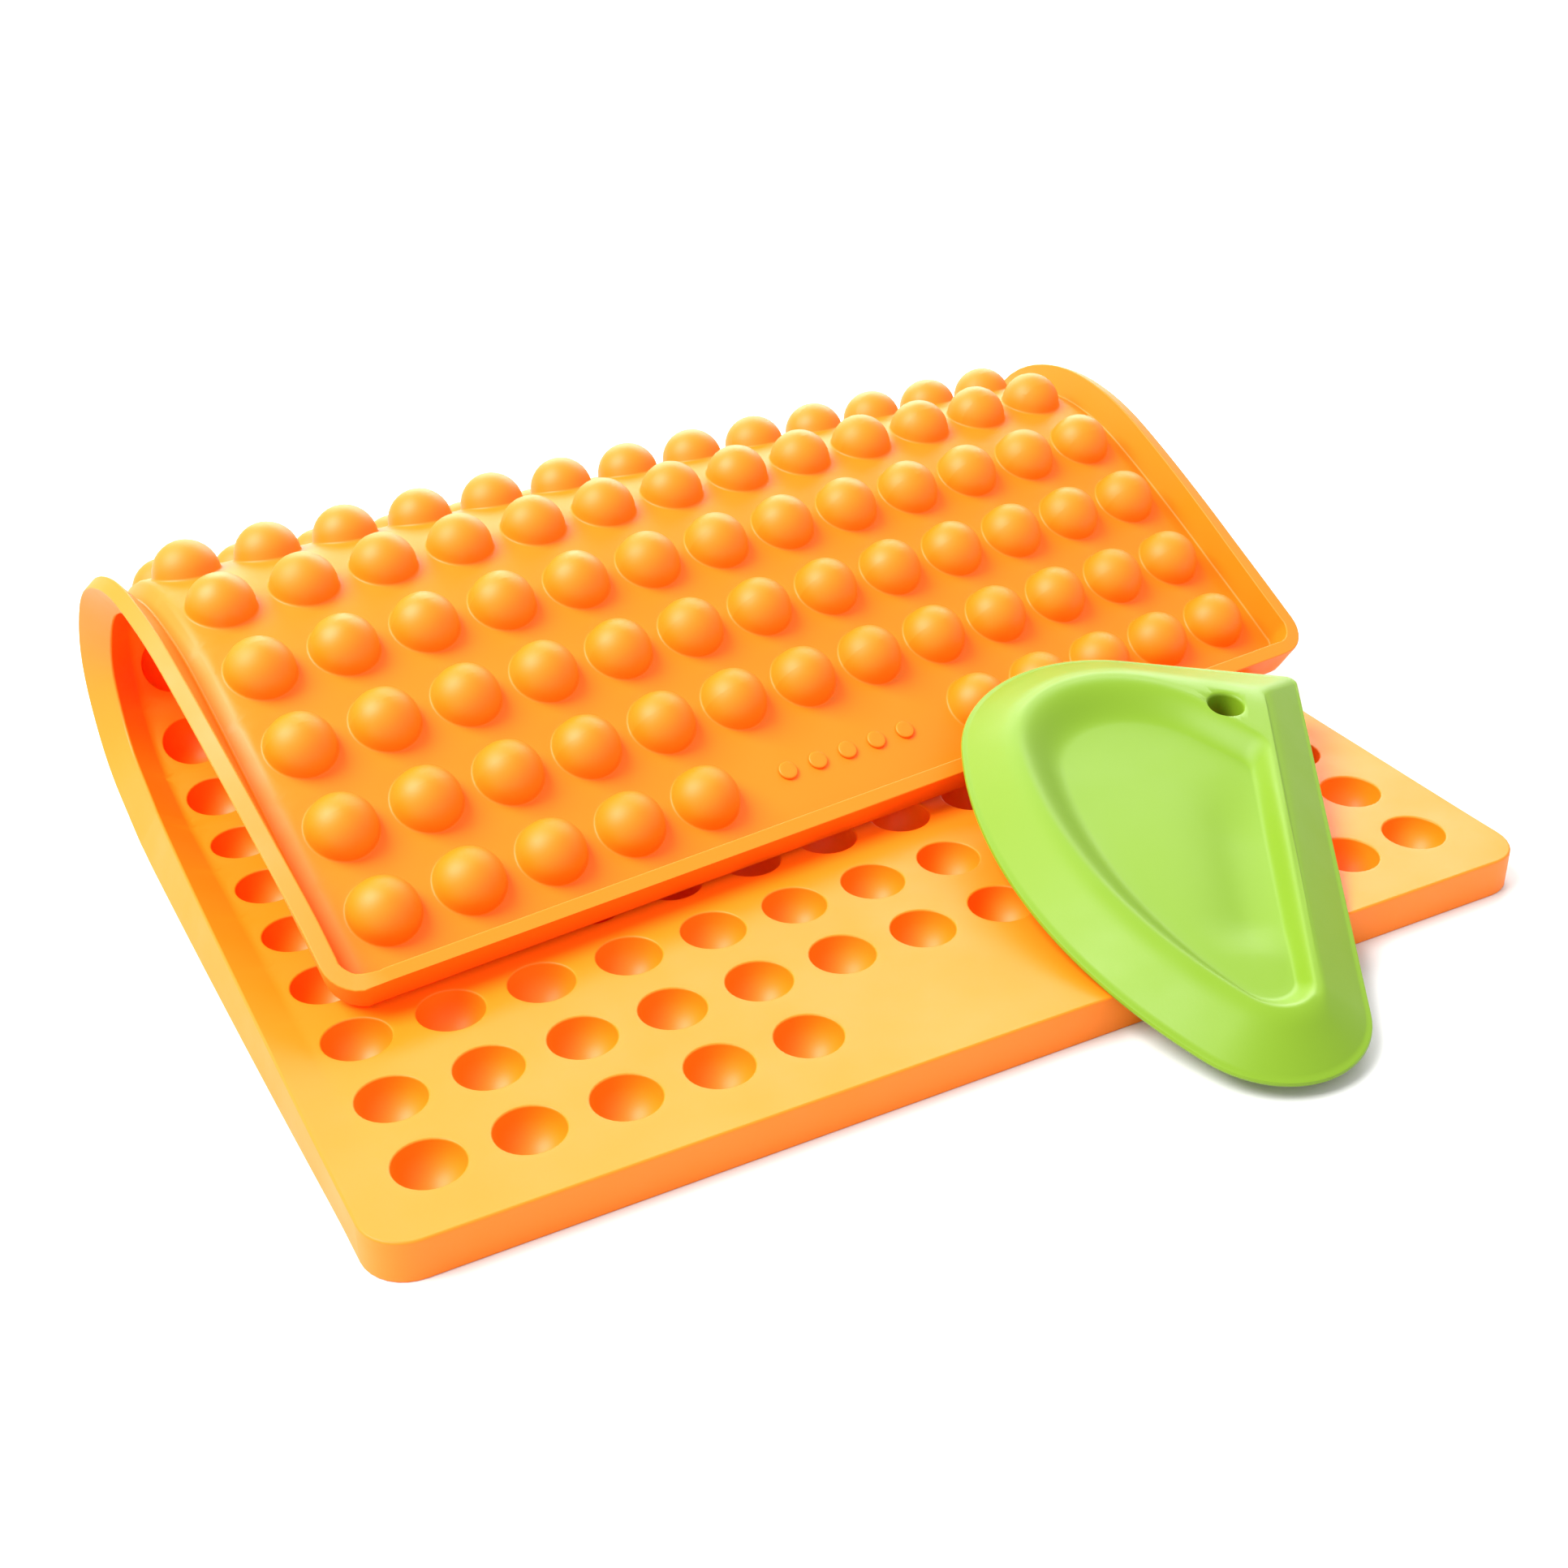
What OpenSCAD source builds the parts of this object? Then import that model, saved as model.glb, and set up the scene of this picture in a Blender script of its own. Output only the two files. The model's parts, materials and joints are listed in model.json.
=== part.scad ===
// Half-sphere baking mat of soft silicone, folded over on itself, with a
// D-shaped dough scraper lying across the folded-over front edge.
//
// Origin: middle of the front rim's underside, on the table.
// X runs across the mat, Y towards the fold, Z up. Millimetres.
// The mat is one moulding. It is cut into rows here because it bends at the
// web between two rows: each row is a node, and each bend is a hinge.

/* [Cups] */
// Cups across a full row
columns = 13; // [5:2:17]
// Rows of cups from front to back
rows = 17; // [17:1:17]
// Distance between cup centres across the mat
pitch_x = 21; // [19:0.5:26]
// Distance between cup centres along the mat
pitch_y = 22.75; // [19:0.25:28]
// Inside radius of a cup
cup_r = 7.5; // [5:0.1:8.5]
// Wall thickness of a cup
cup_wall = 0.9; // [0.6:0.1:1.5]
// Columns left without cups in the middle of each end row
gap_columns = 3; // [1:2:5]

/* [Sheet] */
// Thickness of the flat web between the cups
web_t = 1.3; // [0.8:0.1:2]
// Slit between two rows, where the sheet bends
slit = 0.3; // [0.2:0.05:0.5]

/* [Rim] */
// Height of the rim that runs round the mat
rim_h = 9.8; // [9:0.1:12]
// Thickness of the rim
rim_t = 4; // [2:0.5:5]
// Distance from the outer cup centres to the rim's outer face, at the sides
side_margin = 18; // [14:0.5:24]
// The same distance at the front and the back
end_margin = 19.75; // [14:0.25:26]
// Radius of the mat's corners in plan
corner_r = 10; // [6:0.5:16]

/* [Raised dots] */
// Number of plain raised dots on the underside of each end gap
dots = 5; // [1:1:7]
// Diameter of a dot
dot_d = 5; // [3:0.5:6]
// Height of a dot
dot_h = 0.8; // [0.4:0.1:1.2]
// Distance between dot centres
dot_pitch = 9; // [7:0.5:12]

/* [Fold] */
// Share of the fold that is made: 1 is folded over, 0 is laid out flat
fold_share = 1; // [0:0.05:1]

/* [Scraper] */
// Length of the scraper
scraper_l = 147; // [120:1:160]
// Thickness at the crest
crest_h = 8; // [6:0.5:10]
// Thickness of the thin lip round the outline
lip_t = 1.5; // [1:0.1:2.5]
// Depth of the dished recess below the crest
recess_depth = 4; // [2:0.5:5]
// Diameter of the hang hole
hang_hole_d = 9; // [5:0.5:10]

/* [Output] */
// Node to draw

/* [Hidden] */
$fn = 64;
mat_colour = [0.93, 0.42, 0.08];
scraper_colour = [0.62, 0.86, 0.32];
past = 1;                            // how far a cutting tool runs past a face
mat_w = (columns - 1) * pitch_x + 2 * side_margin;
dome_r = cup_r + cup_wall;
row_l = pitch_y - slit;              // length of a row between two slits

// Fold angle at the web behind each row, in degrees, for rows 1 to 16
fold_angles = [0, 0, 0, 0, 0, 0, 8.5, 3.5, 41, 61.5, 45.5, 29.5, 17.4, 3, 2, 0];
// Angle of each of those fold lines to the row, because the mat is folded askew
fold_skews = [0, 0, 0, 0, 0, 0, 0, 6, 3.9, 3.3, 2.7, 2.1, 1.5, 0.9, 0.3, 0];

// Circles that the scraper's outline is drawn from: [x, y, radius]
outline_corner = [-3, scraper_l - 3, 3];
outline_heel = [-45.5, scraper_l - 43, 43];
outline_tip = [-23.5, 23.5, 23.5];
outline_bow_r = 128;
crest_corner = [-14, scraper_l - 19, 2];
crest_heel = [-44.5, scraper_l - 46.5, 32.5];
crest_tip = [-22.7, 24, 10.7];
crest_bow_r = 122;
lip_w = 1.2;                         // width of the lip's flat ledge
// Circles that the recess is drawn from at its rim; it stays clear of the hang hole
recess_corner = [-23, scraper_l - 44, 8];
recess_heel = [-49, scraper_l - 46, 27];
recess_tip = [-22.7, 24, 9.2];
recess_bow_r = 120.5;
recess_draw = 6;                     // how much smaller the recess is at its floor
channel_r = 5;                       // finger channel in the recess floor
channel_x = -25;
channel_y = [36, 98];
channel_floor = 2.5;
hang_hole = [-22.5, scraper_l - 25];
arc_steps = 20;
sliver = 0.1;                        // thickness of a layer inside a hull

// Where the scraper lies: turned on its back, then tilted on the mat's front edge
scraper_pos = [57.8, -49.6, 1.4];
scraper_turn = -31.4;
scraper_tilt = 10.4;

// Bends the sheet: places its children on row n
module on_row(n) {
    if (n == 1)
        translate([0, end_margin - rim_t / 2, rim_h]) children();
    else
        on_row(n - 1)
            translate([0, pitch_y / 2, 0])
                rotate(a = fold_share * fold_angles[n - 2],
                       v = [cos(fold_skews[n - 2]), sin(fold_skews[n - 2]), 0])
                    translate([0, pitch_y / 2, 0])
                        children();
}

// Columns that have a cup in row n
function has_cup(n, c) =
    !((n == 1 || n == rows) && abs(c - (columns - 1) / 2) <= (gap_columns - 1) / 2);
function cup_xs(n) =
    [for (c = [0:columns - 1]) if (has_cup(n, c)) (c - (columns - 1) / 2) * pitch_x];

// Block of a row between two slits, drawn in by inset at the sides
module middle_block(inset, length, z0, z1) {
    translate([-mat_w / 2 + inset, -length / 2, z0])
        cube([mat_w - 2 * inset, length, z1 - z0]);
}

// Block of an end row: its outer edge is at -Y and has rounded corners
module end_block(inset, length, z0, z1) {
    r = corner_r - inset;
    front = -end_margin + inset;
    side = mat_w / 2 - inset;
    translate([-side, front + r, z0])
        cube([2 * side, length / 2 - front - r, z1 - z0]);
    translate([-side + r, front, z0])
        cube([2 * (side - r), r + past, z1 - z0]);
    for (s = [-1, 1])
        translate([s * (side - r), front + r, z0])
            cylinder(r = r, h = z1 - z0);
}

module block(is_end, inset, length, z0, z1) {
    if (is_end) end_block(inset, length, z0, z1);
    else middle_block(inset, length, z0, z1);
}

// One row of the mat, cavity side up, its cup centres on the X axis
module row_solid(n) {
    is_end = n == 1 || n == rows;
    difference() {
        union() {
            difference() {
                block(is_end, 0, row_l, -rim_h, 0);
                block(is_end, rim_t, row_l + 2 * past, -rim_h - past, -web_t);
            }
            for (x = cup_xs(n))
                intersection() {
                    translate([x, 0, -web_t]) sphere(r = dome_r);
                    translate([x - pitch_x / 2, -pitch_y / 2, -rim_h - past])
                        cube([pitch_x, pitch_y, rim_h + past - web_t / 2]);
                }
            if (is_end)
                for (i = [0:dots - 1])
                    translate([(i - (dots - 1) / 2) * dot_pitch, 0, -web_t - dot_h])
                        cylinder(d = dot_d, h = dot_h + web_t / 2);
        }
        for (x = cup_xs(n))
            translate([x, 0, -web_t]) sphere(r = cup_r);
    }
}

module mat_row(n) {
    color(mat_colour)
        on_row(n)
            mirror([0, n == rows ? 1 : 0, 0])
                row_solid(n);
}

// Points of an arc from angle a0 to angle a1
function arc(c, r, a0, a1) =
    [for (i = [0:arc_steps])
        let (a = a0 + (a1 - a0) * i / arc_steps)
        [c[0] + r * cos(a), c[1] + r * sin(a)]];
function heading(from, to) = (atan2(to[1] - from[1], to[0] - from[0]) + 360) % 360;
function gap(from, to) = norm([to[0] - from[0], to[1] - from[1]]);
// Angle of the straight tangent's normal, with both circles inside it
function tangent_angle(a, b) = heading(a, b) % 360 + acos((a[2] - b[2]) / gap(a, b));
// Centre of the bow that touches circles a and b from outside
function bow_centre(a, b, r) =
    let (d = gap(a, b), ra = r - a[2], rb = r - b[2],
         along = (ra * ra - rb * rb + d * d) / (2 * d),
         off = sqrt(ra * ra - along * along),
         h = heading(a, b))
    [a[0] + along * cos(h) + off * sin(h), a[1] + along * sin(h) - off * cos(h)];

// D-shaped outline: straight edge at the right, corner at the top right,
// heel at the top left, bow down the left side, tip at the bottom
function d_outline(corner, heel, tip, bow_r) =
    let (top = tangent_angle(heel, corner),
         bow = bow_centre(tip, heel, bow_r),
         bow_heel = heading(bow, heel),
         bow_tip = heading(bow, tip))
    concat(arc(tip, tip[2], bow_tip, 360),
           arc(corner, corner[2], 0, top),
           arc(heel, heel[2], top, bow_heel),
           arc(bow, bow_r, bow_heel, bow_tip));

function shrunk(c, by) = [c[0], c[1], c[2] - by];

module recess_layer(inset, z) {
    translate([0, 0, z])
        linear_extrude(height = sliver)
            polygon(d_outline(shrunk(recess_corner, inset), shrunk(recess_heel, inset),
                              shrunk(recess_tip, inset), recess_bow_r - inset));
}

module scraper_solid() {
    difference() {
        union() {
            linear_extrude(height = lip_t)
                polygon(d_outline(outline_corner, outline_heel, outline_tip, outline_bow_r));
            hull() {
                translate([0, 0, lip_t / 2])
                    linear_extrude(height = lip_t / 2)
                        polygon(d_outline(shrunk(outline_corner, lip_w),
                                          shrunk(outline_heel, lip_w),
                                          shrunk(outline_tip, lip_w),
                                          outline_bow_r - lip_w));
                translate([0, 0, crest_h - sliver])
                    linear_extrude(height = sliver)
                        polygon(d_outline(crest_corner, crest_heel, crest_tip, crest_bow_r));
            }
        }
        hull() {
            recess_layer(0, crest_h + past);
            recess_layer(recess_draw, crest_h - recess_depth);
        }
        hull()
            for (y = channel_y)
                translate([channel_x, y, channel_floor + channel_r])
                    sphere(r = channel_r, $fn = 24);
        translate([hang_hole[0], hang_hole[1], -past])
            cylinder(d = hang_hole_d, h = crest_h + 2 * past);
    }
}

module scraper() {
    color(scraper_colour)
        translate(scraper_pos)
            rotate([scraper_tilt, 0, 0])
                rotate([0, 0, scraper_turn])
                    scraper_solid();
}

mat_row(1);  // mat_row_01
mat_row(2);  // mat_row_02
mat_row(3);  // mat_row_03
mat_row(4);  // mat_row_04
mat_row(5);  // mat_row_05
mat_row(6);  // mat_row_06
mat_row(7);  // mat_row_07
mat_row(8);  // mat_row_08
mat_row(9);  // mat_row_09
mat_row(10);  // mat_row_10
mat_row(11);  // mat_row_11
mat_row(12);  // mat_row_12
mat_row(13);  // mat_row_13
mat_row(14);  // mat_row_14
mat_row(15);  // mat_row_15
mat_row(16);  // mat_row_16
mat_row(17);  // mat_row_17
scraper();
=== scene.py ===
"""A silicone mat of half-sphere cups, folded over on itself, with a dough scraper laid on it.

The mat is made flat, as it was moulded, and then bent smoothly along the CAD model's hinges into
the fold. Sizes are in millimetres until a mesh is made.
"""
import json
import math

import bmesh
import bpy
import numpy as np
from mathutils import Matrix, Vector

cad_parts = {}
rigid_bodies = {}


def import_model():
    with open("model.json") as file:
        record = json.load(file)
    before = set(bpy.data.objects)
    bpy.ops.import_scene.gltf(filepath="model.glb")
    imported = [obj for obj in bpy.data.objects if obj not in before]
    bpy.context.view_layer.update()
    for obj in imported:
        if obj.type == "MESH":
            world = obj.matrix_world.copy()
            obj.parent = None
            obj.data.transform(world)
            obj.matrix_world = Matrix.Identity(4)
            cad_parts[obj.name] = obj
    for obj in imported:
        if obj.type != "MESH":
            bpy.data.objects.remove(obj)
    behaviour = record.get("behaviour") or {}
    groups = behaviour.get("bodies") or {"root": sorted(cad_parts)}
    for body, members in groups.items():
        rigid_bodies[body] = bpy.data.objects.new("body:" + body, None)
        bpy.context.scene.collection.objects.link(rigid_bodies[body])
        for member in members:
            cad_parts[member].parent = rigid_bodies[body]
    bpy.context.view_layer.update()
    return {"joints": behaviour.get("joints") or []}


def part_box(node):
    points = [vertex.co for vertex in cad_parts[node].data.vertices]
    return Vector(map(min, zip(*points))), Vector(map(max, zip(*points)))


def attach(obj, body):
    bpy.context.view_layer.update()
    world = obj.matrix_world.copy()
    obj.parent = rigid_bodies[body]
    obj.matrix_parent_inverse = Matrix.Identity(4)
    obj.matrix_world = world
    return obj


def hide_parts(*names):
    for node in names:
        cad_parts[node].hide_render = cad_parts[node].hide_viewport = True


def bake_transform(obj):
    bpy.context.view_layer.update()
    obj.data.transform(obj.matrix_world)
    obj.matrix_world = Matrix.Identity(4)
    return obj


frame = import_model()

MM = 0.001

# ---------------------------------------------------------------- the mat's sizes
COLUMNS, ROWS = 13, 17
PITCH_X, PITCH_Y = 21.0, 22.75
CUP_R, DOME_R = 7.5, 8.4
WEB = 1.3
END_MARGIN = 19.75              # from the front edge to the first row's centres
RIM_T = 4.0
CORNER_R = 10.0
GAP_COLUMNS = (5, 6, 7)         # columns left out of both end rows
DOTS, DOT_PITCH, DOT_R, DOT_H = 5, 9.0, 2.5, 0.8
EDGE_R = 0.6                    # rounding of the mat's outer edges
LIP_R = 0.45                    # rounding of a cup's edge
ROOT_R = 0.6                    # fillet at the foot of a dome
FOOT_R = 0.6 * EDGE_R           # rounding of the rim's lower edges
DOT_SUNK = 0.2                  # how far a dot's foot is sunk into the web

# ---------------------------------------------------------------- how finely it is meshed
SIDE = 8                        # segments along one side of a cup's tile
TILE_RINGS = (0.62, 0.3)        # rings between a tile's edge and its circle
PLAIN_RINGS = (5.5, 2.5, 0)     # radii of the rings in a tile without a cup
WALL_RINGS = (0.35, 0.65)       # rings down the rim's outer wall
BOWL_STEPS = 7                  # rings from a cup's edge to its bottom
WELD = 1e-3                     # points closer than this are one

first_low, first_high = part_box("mat_row_01")
FRONT_Y = first_low.y / MM
HALF_W = first_high.x / MM
FACE_Z = first_high.z / MM
RIM_H = FACE_Z
ROW_1_Y = FRONT_Y + END_MARGIN
BACK_Y = ROW_1_Y + (ROWS - 1) * PITCH_Y + END_MARGIN


def smoothstep(t):
    t = np.clip(t, 0, 1)
    return t * t * (3 - 2 * t)


def soft_min(a, b, k):
    """The lower of a and b, rounded over a height k where they cross."""
    h = np.clip(0.5 + 0.5 * (b - a) / k, 0, 1)
    return b + (a - b) * h - k * h * (1 - h)


# ---------------------------------------------------------------- the mat, laid flat
class Sheet:
    """Gathers points and faces, and welds points that coincide."""

    def __init__(self):
        self.points, self.faces, self.count = [], [], 0

    def add(self, points, faces):
        self.points.append(np.asarray(points, float))
        self.faces += [[v + self.count for v in face] for face in faces]
        self.count += len(points)

    def welded(self):
        points = np.vstack(self.points)
        _, first, index = np.unique(
            np.round(points / WELD).astype(np.int64), axis=0,
            return_index=True, return_inverse=True,
        )
        index = index.ravel()
        faces = []
        for face in self.faces:
            corners = []
            for v in index[face]:
                if v not in corners:
                    corners.append(int(v))
            if len(corners) > 2:
                faces.append(corners)
        return points[first], faces


def side_steps():
    """Places from -1 to 1 along a tile's side, closer together at its ends, where the mat bends."""
    s = np.linspace(-1, 1, SIDE + 1)
    return (s + np.sin(s * math.pi / 2)) / 2


def tile_edge():
    """Points round a tile's edge, anticlockwise from the near left corner."""
    s = side_steps()[:-1]
    one = np.ones(SIDE)
    x = np.concatenate([s, one, -s, -one]) * PITCH_X / 2
    y = np.concatenate([-one, s, one, -s]) * PITCH_Y / 2
    return np.stack([x, y], 1)


def ring_directions():
    a = np.radians(225 + np.arange(4 * SIDE) * 90 / SIDE)
    return np.stack([np.cos(a), np.sin(a)], 1)


def tile(profile, edge_z, faces_up):
    """A tile: its square edge, a few rings closing in to a circle, then the profile's (radius, z)
    rings to the pole, which is the profile's last point."""
    edge, around = tile_edge(), ring_directions()
    first = around * profile[0][0]
    rings = [(edge, edge_z)]
    rings += [(first + (edge - first) * f, edge_z) for f in TILE_RINGS]
    rings += [(around * r, z) for r, z in profile[:-1]]
    points = np.vstack([np.column_stack([xy, np.full(len(xy), z)]) for xy, z in rings])
    points = np.vstack([points, [0, 0, profile[-1][1]]])
    n, pole = 4 * SIDE, len(points) - 1
    faces = [
        [j * n + i, j * n + (i + 1) % n, (j + 1) * n + (i + 1) % n, (j + 1) * n + i]
        for j in range(len(rings) - 1) for i in range(n)
    ]
    last = (len(rings) - 1) * n
    faces += [[last + i, last + (i + 1) % n, pole] for i in range(n)]
    return points, faces if faces_up else [face[::-1] for face in faces]


def cavity_profile():
    """A cup seen from above: a rounded edge, a short straight wall and half a sphere."""
    rim = [(CUP_R + LIP_R * (1 - math.sin(a)), -LIP_R * (1 - math.cos(a)))
           for a in np.radians([0, 35, 65, 90])]
    bowl = [(CUP_R * math.cos(a), -WEB - CUP_R * math.sin(a))
            for a in np.linspace(0, math.pi / 2, BOWL_STEPS + 1)]
    return rim + bowl


def dome_profile():
    """A cup from below: a fillet off the web, then half a sphere."""
    out = math.sqrt((DOME_R + ROOT_R) ** 2 - ROOT_R ** 2)
    touch = math.atan2(ROOT_R, out)
    turns = np.linspace(0, math.pi / 2 - touch, 4)
    fillet = [(out - ROOT_R * math.sin(a), -WEB - ROOT_R * (1 - math.cos(a))) for a in turns]
    ball = [(DOME_R * math.cos(a), -WEB - DOME_R * math.sin(a))
            for a in np.linspace(touch, math.pi / 2, BOWL_STEPS + 2)[1:]]
    return fillet + ball


def dot(x, y):
    """A raised dot under the web, its foot sunk a little into it."""
    low = -WEB - DOT_H
    profile = [(DOT_R, -WEB + DOT_SUNK), (DOT_R, low + 0.35), (DOT_R - 0.1, low + 0.12),
               (DOT_R - 0.4, low), (DOT_R / 2, low)]
    n, around = 4 * SIDE, ring_directions()
    points = np.vstack([np.column_stack([around * r, np.full(n, z)]) for r, z in profile])
    points = np.vstack([points, [0, 0, low], [0, 0, profile[0][1]]]) + [x, y, 0]
    faces = [
        [(j + 1) * n + i, (j + 1) * n + (i + 1) % n, j * n + (i + 1) % n, j * n + i]
        for j in range(len(profile) - 1) for i in range(n)
    ]
    last = (len(profile) - 1) * n
    tip, foot = len(points) - 2, len(points) - 1
    faces += [[tip, last + (i + 1) % n, last + i] for i in range(n)]
    faces += [[foot, i, (i + 1) % n] for i in range(n)]
    return points, faces


def column_x(i):
    return (i - (COLUMNS - 1) / 2) * PITCH_X


def row_y(n):
    """Centre of row n, counted from 1 at the front."""
    return ROW_1_Y + (n - 1) * PITCH_Y


def border_lines():
    """Matching points along the tiles' outer edge and along the mat's rounded outline."""
    s = side_steps()[:-1]
    along_x = np.concatenate([column_x(i) + s * PITCH_X / 2 for i in range(COLUMNS)])
    along_y = np.concatenate([row_y(n) + s * PITCH_Y / 2 for n in range(1, ROWS + 1)])
    right, left = column_x(COLUMNS - 0.5), column_x(-0.5)
    near, far = row_y(0.5), row_y(ROWS + 0.5)
    inner, outer = [], []

    def corner(x, y, sx, sy, start):
        for a in np.radians(np.linspace(start, start + 90, SIDE + 1)):
            inner.append((x, y))
            outer.append((sx * (HALF_W - CORNER_R) + CORNER_R * math.cos(a),
                          (BACK_Y - CORNER_R if sy > 0 else FRONT_Y + CORNER_R)
                          + CORNER_R * math.sin(a)))

    edge_x = np.clip(along_x, CORNER_R - HALF_W, HALF_W - CORNER_R)
    edge_y = np.clip(along_y, FRONT_Y + CORNER_R, BACK_Y - CORNER_R)
    corner(left, near, -1, -1, 180)
    inner += [(x, near) for x in along_x[1:]]
    outer += [(x, FRONT_Y) for x in edge_x[1:]]
    corner(right, near, 1, -1, 270)
    inner += [(right, y) for y in along_y[1:]]
    outer += [(HALF_W, y) for y in edge_y[1:]]
    corner(right, far, 1, 1, 0)
    inner += [(-x, far) for x in along_x[1:]]
    outer += [(-x, BACK_Y) for x in edge_x[1:]]
    corner(left, far, -1, 1, 90)
    middle = row_y(1) + row_y(ROWS)
    inner += [(left, middle - y) for y in along_y[1:]]
    outer += [(-HALF_W, middle - y) for y in edge_y[1:]]
    return np.array(inner), np.array(outer)


def border_profile():
    """The border's section as (distance in from the outline, z), from the top face round the rim to
    the web's underside."""
    turn = np.radians([0, 22.5, 45, 67.5, 90])
    top = [(EDGE_R * (1 - math.sin(a)), -EDGE_R * (1 - math.cos(a))) for a in turn]
    foot = [(FOOT_R * (1 - math.cos(a)), -RIM_H + FOOT_R * (1 - math.sin(a))) for a in turn]
    inside = [(RIM_T - FOOT_R * (1 - math.sin(a)), -RIM_H + FOOT_R * (1 - math.cos(a)))
              for a in turn]
    root = [(RIM_T + ROOT_R * (1 - math.cos(a)), -WEB - ROOT_R * (1 - math.sin(a))) for a in turn]
    wall = [(0, -RIM_H * f) for f in WALL_RINGS]
    return top + wall + foot + inside + root


def flat_mat():
    sheet = Sheet()
    cup_top = tile(cavity_profile(), 0, True)
    cup_under = tile(dome_profile(), -WEB, False)
    plain_top = tile([(r, 0) for r in PLAIN_RINGS], 0, True)
    plain_under = tile([(r, -WEB) for r in PLAIN_RINGS], -WEB, False)
    for n in range(1, ROWS + 1):
        for i in range(COLUMNS):
            plain = n in (1, ROWS) and i in GAP_COLUMNS
            at = [column_x(i), row_y(n), 0]
            for points, faces in ((plain_top, plain_under) if plain else (cup_top, cup_under)):
                sheet.add(points + at, faces)
    inner, outer = border_lines()
    inwards = inner - outer
    inwards /= np.linalg.norm(inwards, axis=1)[:, None]
    loops = [(inner, 0)]
    loops += [(outer + inwards * t, z) for t, z in border_profile()]
    loops += [(inner, -WEB)]
    n = len(inner)
    points = np.vstack([np.column_stack([xy, np.full(n, z)]) for xy, z in loops])
    sheet.add(points, [
        [j * n + i, (j + 1) * n + i, (j + 1) * n + (i + 1) % n, j * n + (i + 1) % n]
        for j in range(len(loops) - 1) for i in range(n)
    ])
    for y in (row_y(1), row_y(ROWS)):
        for i in range(DOTS):
            sheet.add(*dot((i - (DOTS - 1) / 2) * DOT_PITCH, y))
    points, faces = sheet.welded()
    return points + [0, 0, FACE_Z], faces


# ---------------------------------------------------------------- the fold, from the CAD's hinges
def turn_matrix(pos, axis, angle):
    move = Matrix.Translation(Vector(pos))
    return np.array(move @ Matrix.Rotation(angle, 4, Vector(axis)) @ move.inverted())


def moved(matrix, points):
    return points @ matrix[:3, :3].T + matrix[:3, 3]


class Hinge:
    """A fold line of the CAD model, and how the sheet bends round it."""

    def __init__(self, joint, opened):
        self.parent, self.child = joint["parent"], joint["child"]
        self.pos = np.array(joint["pos_m"]) / MM
        self.axis = np.array(joint["axis"], float)
        self.angle = math.radians(max(joint["range_deg"], key=abs))
        self.opened_parent = opened
        self.opened_child = opened @ turn_matrix(self.pos, self.axis, self.angle)
        self.flat_pos = moved(opened, self.pos)
        along = opened[:3, :3] @ self.axis
        self.skew = math.atan2(-along[1], -along[0])


fold_joints = sorted((j for j in frame["joints"] if j["name"].startswith("fold_")),
                     key=lambda j: j["name"])
hinges = []
for joint in fold_joints:
    hinges.append(Hinge(joint, hinges[-1].opened_child if hinges else np.eye(4)))
FIRST_BEND = int(fold_joints[0]["name"][-2:])       # the row in front of the first hinge
SPREAD = 14.0                   # how far from its hinge a bend spreads at rest
FRAME_STEP = 0.25               # spacing of the frames along the bend
CUP_HOLD = 0.65                 # how much of the bend a cup keeps out of
LINE_PASSES = 30                # repetitions that find a point's fold line

# A cut runs through the centres of every row that bends, halfway between its two hinges' directions
cut_rows = [FIRST_BEND + i for i in range(len(hinges) + 1)]
cut_skews = [hinges[0].skew]
cut_skews += [(a.skew + b.skew) / 2 for a, b in zip(hinges, hinges[1:])]
cut_skews += [hinges[-1].skew]


def cut_side(i, points):
    """Distance beyond cut i on the flat mat; below 0 is nearer the front."""
    a = cut_skews[i]
    return (points[:, 1] - row_y(cut_rows[i])) * math.cos(a) - points[:, 0] * math.sin(a)


def bend_frames():
    """Frames along the mat's middle line, turning smoothly round one hinge after another: places
    along the flat mat, and each one's point and rotation at rest, ending where the flap lies."""
    along = np.arange(FRONT_Y, BACK_Y + FRAME_STEP, FRAME_STEP)
    turned = np.array([h.angle * smoothstep(0.5 + (along - h.flat_pos[1]) / (2 * SPREAD))
                       for h in hinges])
    axes = np.array([(-math.cos(h.skew), -math.sin(h.skew), 0) for h in hinges])
    turn = Matrix.Identity(3)
    place = Vector((0, FRONT_Y, FACE_Z))
    places, rotations = [place.copy()], [turn.copy()]
    for step in -np.diff(turned, axis=1).T @ axes:
        v = Vector(step)
        half = turn @ Matrix.Rotation(v.length / 2, 3, v) if v.length else turn
        turn = turn @ Matrix.Rotation(v.length, 3, v) if v.length else turn
        place = place + half.col[1] * FRAME_STEP
        places.append(place.copy())
        rotations.append(turn.copy())
    places, rotations = np.array(places), np.array(rotations)
    flap = moved(np.linalg.inv(hinges[-1].opened_child), np.array([0, along[-1], FACE_Z]))
    first, last = hinges[0].flat_pos[1] - SPREAD, hinges[-1].flat_pos[1] + SPREAD
    share = np.clip((along - first) / (last - first), 0, 1)[:, None]
    return along, places + share * (flap - places[-1]), rotations


def fold_line(points):
    """Where the fold line through each flat point crosses the mat's middle line."""
    lines = [h.flat_pos[1] for h in hinges]
    slopes = np.tan([h.skew for h in hinges])
    at = points[:, 1]
    for _ in range(LINE_PASSES):
        at = points[:, 1] - points[:, 0] * np.interp(at, lines, slopes)
    return at


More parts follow.
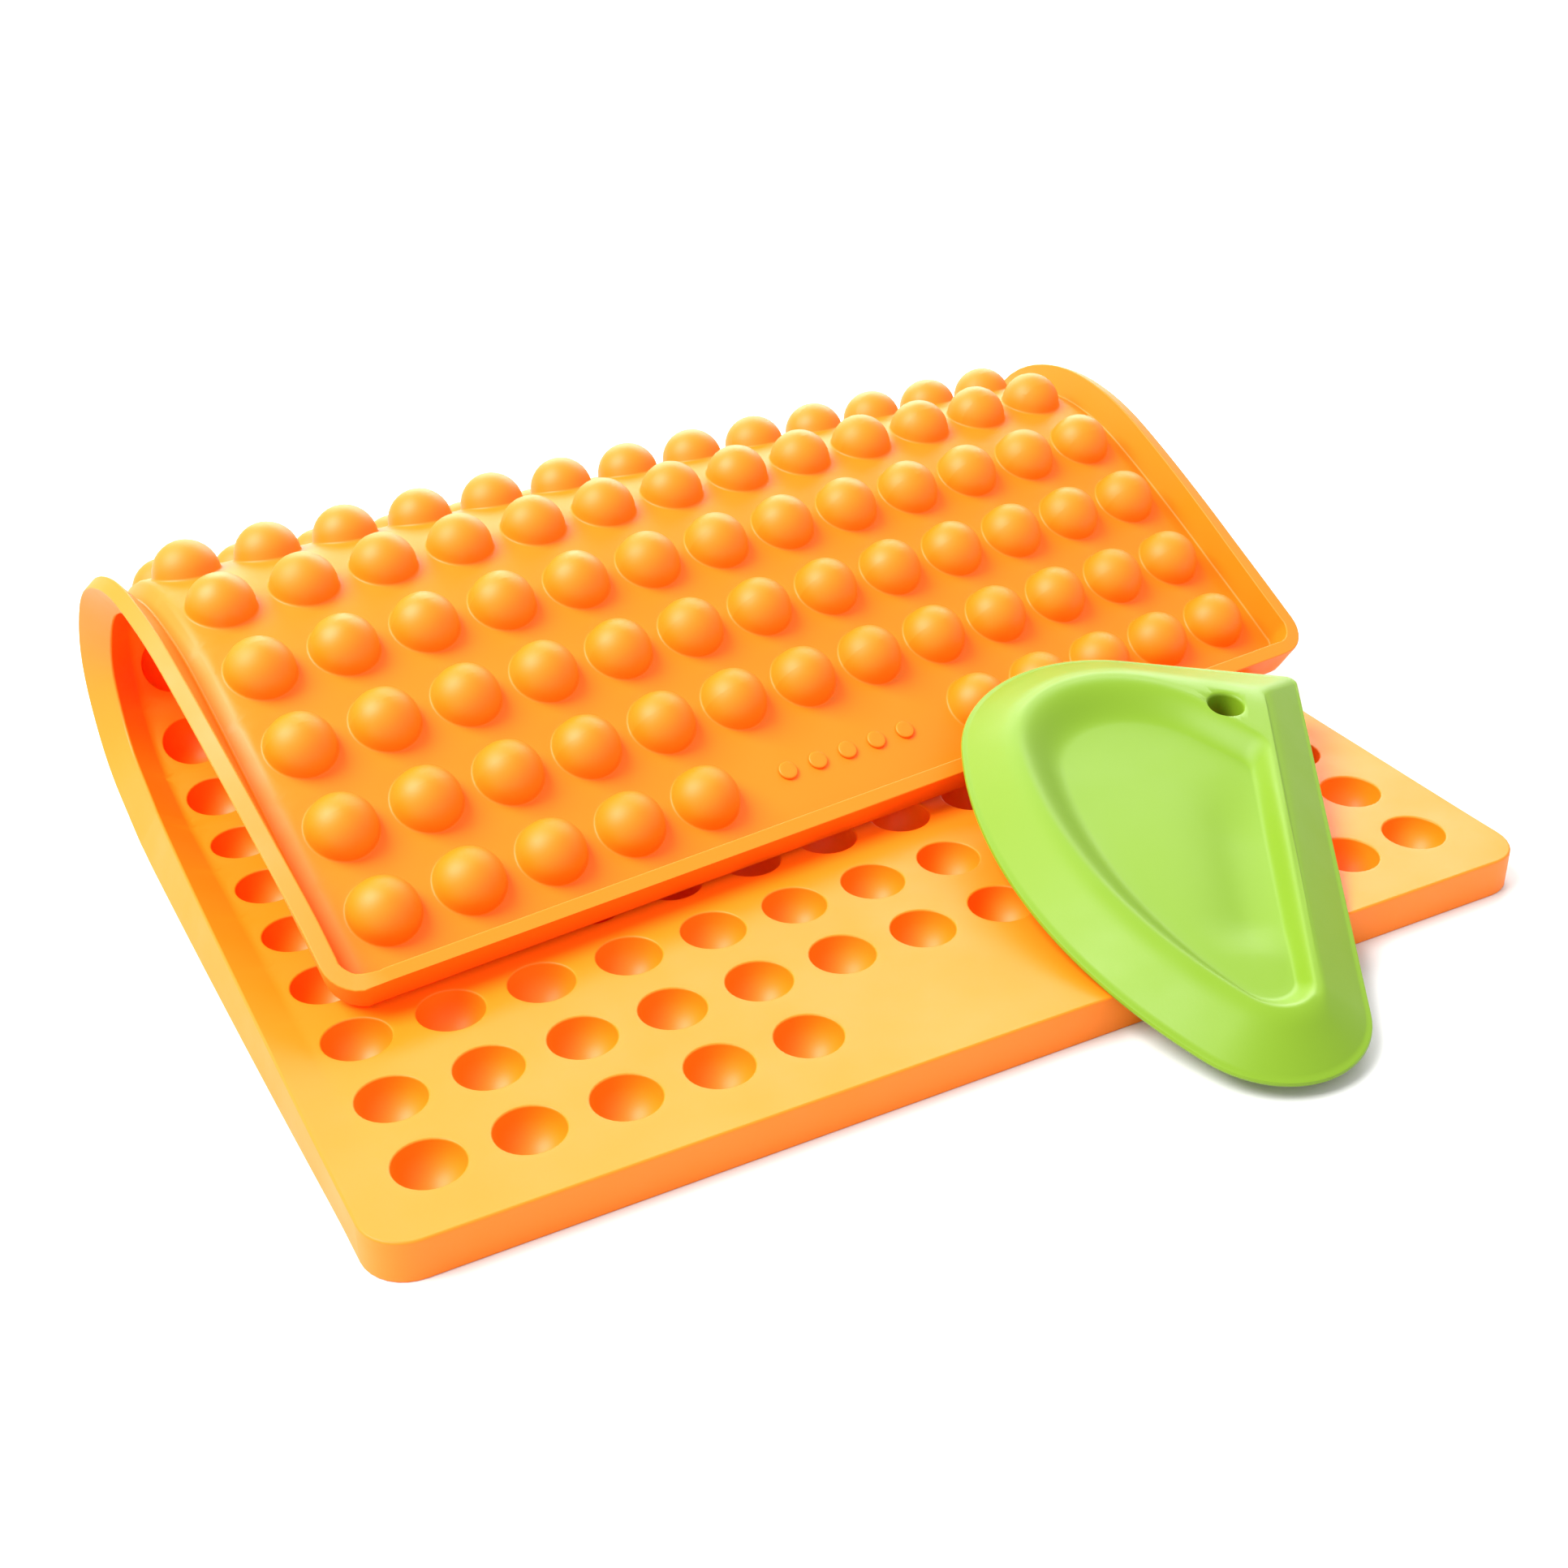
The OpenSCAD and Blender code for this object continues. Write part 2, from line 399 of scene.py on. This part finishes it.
def folded(flat, shaped):
    """The mat at rest: every point is carried by the frame its fold line is on, and a cup stays
    near the frame at its centre, because it is stiffer than the web round it."""
    along, places, rotations = bend_frames()
    column = np.clip(np.round(flat[:, 0] / PITCH_X), -(COLUMNS // 2), COLUMNS // 2)
    row = np.clip(np.round((flat[:, 1] - ROW_1_Y) / PITCH_Y), 0, ROWS - 1)
    centre = np.column_stack([column * PITCH_X, ROW_1_Y + row * PITCH_Y])
    out = np.linalg.norm(flat[:, :2] - centre, axis=1) - DOME_R
    hold = CUP_HOLD * (1 - smoothstep(out / (PITCH_X / 2 - DOME_R)))
    at = fold_line(shaped) * (1 - hold) + fold_line(centre) * hold
    rest = np.stack([np.interp(at, along, places[:, k]) for k in range(3)], 1)
    local = shaped - np.column_stack([np.zeros(len(at)), at, np.full(len(at), FACE_Z)])
    for i in range(3):
        for j in range(3):
            rest[:, i] += np.interp(at, along, rotations[:, i, j]) * local[:, j]
    return rest


# The border beside the bend curls outwards: places along the mat, in rows, and how far it curls
CURL_ROWS = (0, 3, 5, 7, 9, 10.5, 12, 14, 16.5)
CURL_LEFT = (0, 13, 22, 34, 38, 36, 36, 25, 10)
CURL_RIGHT = (0, 4, 8, 12, 16, 20, 22, 15, 0)
CURL_ROOT = column_x(COLUMNS - 1) + DOME_R
CURL_SOFT = 4.0                 # width over which the curl sets in
CURL_FINE = 10                  # steps in a row when the curl is smoothed along the mat


def curled(points):
    out = np.abs(points[:, 0]) - CURL_ROOT
    row = (points[:, 1] - ROW_1_Y) / PITCH_Y
    fine = np.linspace(0, ROWS - 1, (ROWS - 1) * CURL_FINE + 1)
    window = np.hanning(2 * CURL_FINE + 1)
    kernel = window / window.sum()
    angle = np.zeros(len(points))
    for side, table in ((-1, CURL_LEFT), (1, CURL_RIGHT)):
        raw = np.interp(fine, CURL_ROWS, table)
        soft = np.convolve(np.pad(raw, CURL_FINE, mode="edge"), kernel, mode="valid")
        here = np.interp(row, fine, soft)
        angle = np.where(points[:, 0] * side > 0, here, angle)
    angle = np.radians(angle) * smoothstep(out / CURL_SOFT)
    z = points[:, 2] - FACE_Z
    c, s = np.cos(angle), np.sin(angle)
    x = np.where(out > 0, CURL_ROOT + out * c - z * s, np.abs(points[:, 0]))
    return np.column_stack([
        np.sign(points[:, 0]) * x,
        points[:, 1],
        np.where(out > 0, FACE_Z + out * s + z * c, points[:, 2]),
    ])


# ---------------------------------------------------------------- meshes
def new_object(name, points, faces, stored, normals=None):
    """A mesh object in metres. stored keeps each point's unbent place, for the material."""
    mesh = bpy.data.meshes.new(name)
    mesh.from_pydata((points * MM).tolist(), [], faces)
    mesh.polygons.foreach_set("use_smooth", [True] * len(mesh.polygons))
    place = mesh.attributes.new("moulded_place", "FLOAT_VECTOR", "POINT")
    place.data.foreach_set("vector", (stored * MM).astype(np.float32).ravel())
    if normals is not None:
        mesh.normals_split_custom_set_from_vertices(normals.tolist())
    mesh.update()
    obj = bpy.data.objects.new(name, mesh)
    bpy.context.scene.collection.objects.link(obj)
    return obj


def vertex_normals(points, faces):
    """Normals over the whole mat, so that no shading line shows between two pieces."""
    total = np.zeros_like(points)
    for count in sorted({len(face) for face in faces}):
        some = np.array([face for face in faces if len(face) == count])
        p = points[some]
        normal = np.zeros((len(some), 3))
        for k in range(count):
            normal += np.cross(p[:, k], p[:, (k + 1) % count]) / 2
        for k in range(count):
            np.add.at(total, some[:, k], normal)
    return total / np.maximum(np.linalg.norm(total, axis=1), 1e-12)[:, None]


def cut_flat_mat():
    """The flat mat's points, faces, and the number of the piece that each face belongs to."""
    points, faces = flat_mat()
    mesh = bpy.data.meshes.new("flat")
    mesh.from_pydata(points.tolist(), [], faces)
    bm = bmesh.new()
    bm.from_mesh(mesh)
    bpy.data.meshes.remove(mesh)
    for i, a in enumerate(cut_skews):
        bmesh.ops.bisect_plane(
            bm, geom=bm.verts[:] + bm.edges[:] + bm.faces[:], dist=WELD,
            plane_co=(0, row_y(cut_rows[i]), 0), plane_no=(-math.sin(a), math.cos(a), 0),
        )
    bm.verts.index_update()
    points = np.array([v.co for v in bm.verts])
    faces = [[v.index for v in face.verts] for face in bm.faces]
    centres = np.array([face.calc_center_median() for face in bm.faces])
    bm.free()
    piece = sum((cut_side(i, centres) > 0).astype(int) for i in range(len(cut_skews)))
    return points, faces, piece


def make_mat(material):
    flat, faces, piece = cut_flat_mat()
    used = [sorted({v for f, p in zip(faces, piece) if p == k for v in f})
            for k in range(len(cut_skews) + 1)]
    rest = folded(flat, curled(flat))
    normals = vertex_normals(rest, faces)
    for k, members in enumerate(used):
        number = np.full(len(flat), -1)
        number[members] = np.arange(len(members))
        own = [[int(number[v]) for v in f] for f, p in zip(faces, piece) if p == k]
        last = k == len(hinges) + 1
        name = "mat_front" if k == 0 else "mat_flap" if last else f"mat_bend_{FIRST_BEND + k:02d}"
        obj = new_object(name, rest[members], own, flat[members], normals[members])
        obj.data.materials.append(material)
        if k == 0:
            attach(obj, hinges[0].parent)
            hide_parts(*[f"mat_row_{n:02d}" for n in range(1, FIRST_BEND + 1)])
        elif last:
            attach(obj, hinges[-1].child)
            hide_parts(f"mat_row_{ROWS:02d}")
        else:
            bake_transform(obj)
            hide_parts(f"mat_row_{FIRST_BEND + k:02d}")


# ---------------------------------------------------------------- the scraper
SCRAPER_L = 147.0
CREST_H, LIP_T, LIP_W = 8.0, 1.5, 1.2
RECESS_DEPTH = 4.0
TROUGH_X, TROUGH_Y, TROUGH_DEPTH, TROUGH_W = -24.0, (34.0, 104.0), 1.5, 7.0
HOLE_AT, HOLE_R, HOLE_FLARE, HOLE_TOP = (-22.5, SCRAPER_L - 25), 4.5, 1.0, 8.5
SCRAPER_POS, SCRAPER_TILT, SCRAPER_TURN = (57.8, -49.6, 1.4), 10.4, -31.4
# Each outline is (corner, heel, tip, bow radius), its circles as (x, y, radius)
OUTLINE = ((-3, SCRAPER_L - 3, 3), (-45.5, SCRAPER_L - 43, 43), (-23.5, 23.5, 23.5), 128)
CREST = ((-14, SCRAPER_L - 19, 2), (-44.5, SCRAPER_L - 46.5, 32.5), (-22.7, 24, 10.7), 122)
RECESS = ((-21, SCRAPER_L - 41, 8), (-46, SCRAPER_L - 47.5, 29.5), (-22.7, 24.3, 9.3), 121)
FLOOR = ((-24, SCRAPER_L - 47, 6), (-43.5, SCRAPER_L - 51, 20), (-23.4, 29, 6.5), 118.5)
SPINE = ((-37, SCRAPER_L - 53), (-25, 36))
SPINE_STEPS = 20
HOLE_SIDES = 48
CREASE = 34                     # degrees above which an edge of the scraper is shaded sharp


def heading(a, b):
    return math.degrees(math.atan2(b[1] - a[1], b[0] - a[0])) % 360


def arc(c, r, a0, a1, n):
    a = np.radians(np.linspace(a0, a1, n))
    return np.stack([c[0] + r * np.cos(a), c[1] + r * np.sin(a)], 1)


def d_outline(corner, heel, tip, bow_r):
    """A D: straight edge at the right, corner at the top right, heel at the top left, bow down
    the left side and tip at the bottom. The same count of points falls on every part of every D."""
    span = math.dist(heel[:2], corner[:2])
    top = heading(heel, corner) + math.degrees(math.acos((heel[2] - corner[2]) / span))
    ra, rb, d = bow_r - tip[2], bow_r - heel[2], math.dist(tip[:2], heel[:2])
    along = (ra * ra - rb * rb + d * d) / (2 * d)
    off = math.sqrt(ra * ra - along * along)
    h = math.radians(heading(tip, heel))
    bow = (tip[0] + along * math.cos(h) + off * math.sin(h),
           tip[1] + along * math.sin(h) - off * math.cos(h))
    bow_heel, bow_tip = heading(bow, heel), heading(bow, tip)
    arcs = [arc(tip, tip[2], bow_tip, 360, 27), arc(corner, corner[2], 0, top, 11),
            arc(heel, heel[2], top, bow_heel, 27), arc(bow, bow_r, bow_heel, bow_tip, 48)]
    edge = np.linspace(arcs[0][-1], arcs[1][0], 44)[1:-1]
    head = np.linspace(arcs[1][-1], arcs[2][0], 18)[1:-1]
    return np.vstack([arcs[0], edge, arcs[1], head, arcs[2], arcs[3][1:-1]])


def scraper_rings():
    """Rings of (xy, z) from the middle of the underside, round the lip and up over the crest
    into the recess."""
    outline, crest, recess, floor = (d_outline(*c) for c in (OUTLINE, CREST, RECESS, FLOOR))
    a, b = np.array(SPINE)
    t = np.clip((floor - a) @ (b - a) / ((b - a) @ (b - a)), 0, 1)
    t = np.round(t * SPINE_STEPS) / SPINE_STEPS
    spine = a + t[:, None] * (b - a)
    inward = crest - outline
    width = np.linalg.norm(inward, axis=1)
    inward /= width[:, None]
    # The ridge beside the straight edge is crisp and the rest of the crest is soft
    straight = smoothstep((-inward[:, 0] - 0.75) / 0.2)
    soft = 1.8 - 1.2 * straight
    rings = [(spine, np.zeros(len(outline)))]
    r = LIP_T / 2
    for angle in np.radians([-90, -45, 0, 45, 90]):
        rings.append((outline + inward * r * (1 - math.cos(angle)),
                      np.full(len(outline), r + r * math.sin(angle))))
    rings.append((outline + inward * LIP_W, np.full(len(outline), LIP_T)))

    def height(xy, climb, drop):
        fall = smoothstep(drop)
        outer = LIP_T + (CREST_H + soft / 4 - LIP_T) * climb
        inner = CREST_H - RECESS_DEPTH * fall + soft / 4 * (1 - fall)
        low, high = TROUGH_Y
        along = smoothstep((xy[:, 1] - low) / 14) * smoothstep((high - xy[:, 1]) / 30)
        trough = np.exp(-((xy[:, 0] - TROUGH_X) / TROUGH_W) ** 2) * along * fall
        return soft_min(outer, inner, soft) - TROUGH_DEPTH * trough

    for f in (0.06, 0.14, 0.25, 0.38, 0.5, 0.62, 0.73, 0.82, 0.89, 0.94, 0.97, 1):
        xy = outline + inward * (LIP_W + (width - LIP_W) * f)[:, None]
        rings.append((xy, height(xy, f, np.zeros(len(xy)))))
    for f in (0.15, 0.35, 0.6, 0.85):
        xy = crest + (recess - crest) * f
        climb = 1 + np.linalg.norm(xy - crest, axis=1) / (width - LIP_W)
        rings.append((xy, height(xy, climb, np.zeros(len(xy)))))
    for f in np.linspace(0, 1, 17):
        xy = recess + (floor - recess) * f
        climb = 1 + np.linalg.norm(xy - crest, axis=1) / (width - LIP_W)
        rings.append((xy, height(xy, climb, np.full(len(xy), f))))
    for f in (0.2, 0.4, 0.6, 0.8, 1):
        xy = floor + (spine - floor) * f
        rings.append((xy, height(xy, np.full(len(xy), 3.0), np.ones(len(xy)))))
    return rings


def lathe(profile, n, at):
    """A closed solid of revolution about a line parallel to Z, for cutting."""
    a = np.linspace(0, 2 * math.pi, n, endpoint=False)
    points = [(at[0] + r * math.cos(t), at[1] + r * math.sin(t), z) for r, z in profile for t in a]
    faces = [[j * n + i, j * n + (i + 1) % n, (j + 1) * n + (i + 1) % n, (j + 1) * n + i]
             for j in range(len(profile) - 1) for i in range(n)]
    faces += [list(range(n))[::-1], list(range((len(profile) - 1) * n, len(profile) * n))]
    return np.array(points), faces


def make_scraper(material):
    rings = scraper_rings()
    n = len(rings[0][0])
    sheet = Sheet()
    sheet.add(
        np.vstack([np.column_stack([xy, z]) for xy, z in rings]),
        [[j * n + i, j * n + (i + 1) % n, (j + 1) * n + (i + 1) % n, (j + 1) * n + i]
         for j in range(len(rings) - 1) for i in range(n)],
    )
    points, faces = sheet.welded()
    body = new_object("dough_scraper", points, faces, points)
    flare = [(HOLE_R + HOLE_FLARE * (1 - math.sin(a)), HOLE_FLARE * (1 - math.cos(a)))
             for a in np.radians(np.linspace(90, 0, 6))]
    top = [(r, HOLE_TOP - z) for r, z in reversed(flare)][::-1]
    foot = [(r, z - 0.02) for r, z in reversed(flare)]
    past = HOLE_R + HOLE_FLARE
    profile = [(past, -1)] + foot + top + [(past, CREST_H + 1)]
    points, faces = lathe(profile, HOLE_SIDES, HOLE_AT)
    tool = new_object("hole_tool", points, faces, points)
    cut = body.modifiers.new("hang_hole", "BOOLEAN")
    cut.operation, cut.solver, cut.object = "DIFFERENCE", "MANIFOLD", tool
    bpy.context.view_layer.update()
    graph = bpy.context.evaluated_depsgraph_get()
    done = bpy.data.meshes.new_from_object(body.evaluated_get(graph))
    bpy.data.objects.remove(tool)
    bpy.data.objects.remove(body)
    local = np.array([v.co for v in done.vertices]) / MM
    faces = [list(p.vertices) for p in done.polygons]
    bpy.data.meshes.remove(done)
    body = new_object("dough_scraper", local, faces, local)
    body.data.set_sharp_from_angle(angle=math.radians(CREASE))
    body.data.materials.append(material)
    place = (Matrix.Translation(Vector(SCRAPER_POS) * MM)
             @ Matrix.Rotation(math.radians(SCRAPER_TILT), 4, "X")
             @ Matrix.Rotation(math.radians(SCRAPER_TURN), 4, "Z"))
    body.data.transform(place)
    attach(body, "scraper")
    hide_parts("scraper")


# ---------------------------------------------------------------- materials
# Each look is (colour, colour in the clouds, roughness, strength of the grain)
MAT_LOOK = ((0.97, 0.215, 0.003), (0.96, 0.2, 0.002), 0.5, 0.06)
SCRAPER_LOOK = ((0.175, 0.31, 0.009), (0.16, 0.29, 0.007), 0.46, 0.05)
CLOUD_SCALE, SATIN_SCALE, GRAIN_SCALE = 22, 60, 1400
GRAIN_DEPTH = 0.0002
SATIN_RANGE = 0.05              # how far the roughness wanders either way
IOR = 1.41


def silicone(name, colour, deep, roughness, grain):
    """Moulded silicone: an even colour with faint clouds, a satin face and a very fine grain."""
    material = bpy.data.materials.new(name)
    material.use_nodes = True
    nodes, links = material.node_tree.nodes, material.node_tree.links
    shader = nodes["Principled BSDF"]
    place = nodes.new("ShaderNodeAttribute")
    place.attribute_name = "moulded_place"

    def noise(scale, detail):
        node = nodes.new("ShaderNodeTexNoise")
        node.inputs["Scale"].default_value = scale
        node.inputs["Detail"].default_value = detail
        links.new(place.outputs["Vector"], node.inputs["Vector"])
        return node.outputs["Fac"]

    clouds = nodes.new("ShaderNodeMix")
    clouds.data_type = "RGBA"
    clouds.inputs["A"].default_value = (*colour, 1)
    clouds.inputs["B"].default_value = (*deep, 1)
    links.new(noise(CLOUD_SCALE, 3), clouds.inputs["Factor"])
    links.new(clouds.outputs["Result"], shader.inputs["Base Color"])
    satin = nodes.new("ShaderNodeMapRange")
    satin.inputs["From Min"].default_value, satin.inputs["From Max"].default_value = 0.3, 0.7
    satin.inputs["To Min"].default_value = roughness - SATIN_RANGE
    satin.inputs["To Max"].default_value = roughness + SATIN_RANGE
    links.new(noise(SATIN_SCALE, 4), satin.inputs["Value"])
    links.new(satin.outputs["Result"], shader.inputs["Roughness"])
    bump = nodes.new("ShaderNodeBump")
    bump.inputs["Strength"].default_value = grain
    bump.inputs["Distance"].default_value = GRAIN_DEPTH
    links.new(noise(GRAIN_SCALE, 2), bump.inputs["Height"])
    links.new(bump.outputs["Normal"], shader.inputs["Normal"])
    shader.inputs["IOR"].default_value = IOR
    return material


def plain(name, colour, roughness):
    material = bpy.data.materials.new(name)
    material.use_nodes = True
    shader = material.node_tree.nodes["Principled BSDF"]
    shader.inputs["Base Color"].default_value = (*colour, 1)
    shader.inputs["Roughness"].default_value = roughness
    return material


# ---------------------------------------------------------------- studio and camera
def make_floor():
    mesh = bpy.data.meshes.new("floor")
    s = 6.0
    mesh.from_pydata([(-s, -s, 0), (s, -s, 0), (s, s, 0), (-s, s, 0)], [], [(0, 1, 2, 3)])
    floor = bpy.data.objects.new("floor", mesh)
    bpy.context.scene.collection.objects.link(floor)
    mesh.materials.append(plain("floor_white", (0.75, 0.75, 0.74), 0.6))


def softbox(name, place, aim, size, power):
    light = bpy.data.lights.new(name, "AREA")
    light.shape, light.size, light.size_y = "RECTANGLE", size[0], size[1]
    light.energy = power
    lamp = bpy.data.objects.new(name, light)
    bpy.context.scene.collection.objects.link(lamp)
    lamp.location = place
    lamp.rotation_euler = (Vector(aim) - Vector(place)).to_track_quat("-Z", "Y").to_euler()


def make_studio():
    scene = bpy.context.scene
    world = bpy.data.worlds.new("studio")
    world.use_nodes = True
    sky = world.node_tree.nodes["Background"]
    sky.inputs["Color"].default_value = (1, 1, 1, 1)
    sky.inputs["Strength"].default_value = 0.88
    scene.world = world
    middle = (0.0, 0.12, 0.03)
    softbox("key", (-1.05, 0.35, 1.5), middle, (1.1, 1.1), 61)
    softbox("back", (0.9, 1.9, 1.0), middle, (2.4, 1.4), 63)
    scene.cycles.max_bounces = 16
    scene.cycles.diffuse_bounces = 12
    scene.view_settings.view_transform = "Standard"
    scene.view_settings.look = "None"
    scene.view_settings.exposure = 0
    scene.view_settings.gamma = 1


def make_camera():
    data = bpy.data.cameras.new("camera")
    data.sensor_width, data.lens = 36, 46.61
    data.clip_start, data.clip_end = 0.01, 50
    camera = bpy.data.objects.new("camera", data)
    bpy.context.scene.collection.objects.link(camera)
    camera.location = (-0.2050, -0.2849, 0.2695)
    turn, down, roll = math.radians(27.571), math.radians(30.0), math.radians(0.907)
    camera.rotation_euler = (
        Matrix.Rotation(-turn, 3, "Z")
        @ Matrix.Rotation(math.pi / 2 - down, 3, "X")
        @ Matrix.Rotation(-roll, 3, "Z")
    ).to_euler()
    bpy.context.scene.camera = camera


make_camera()
make_floor()
make_studio()
make_mat(silicone("mat_silicone", *MAT_LOOK))
make_scraper(silicone("scraper_silicone", *SCRAPER_LOOK))
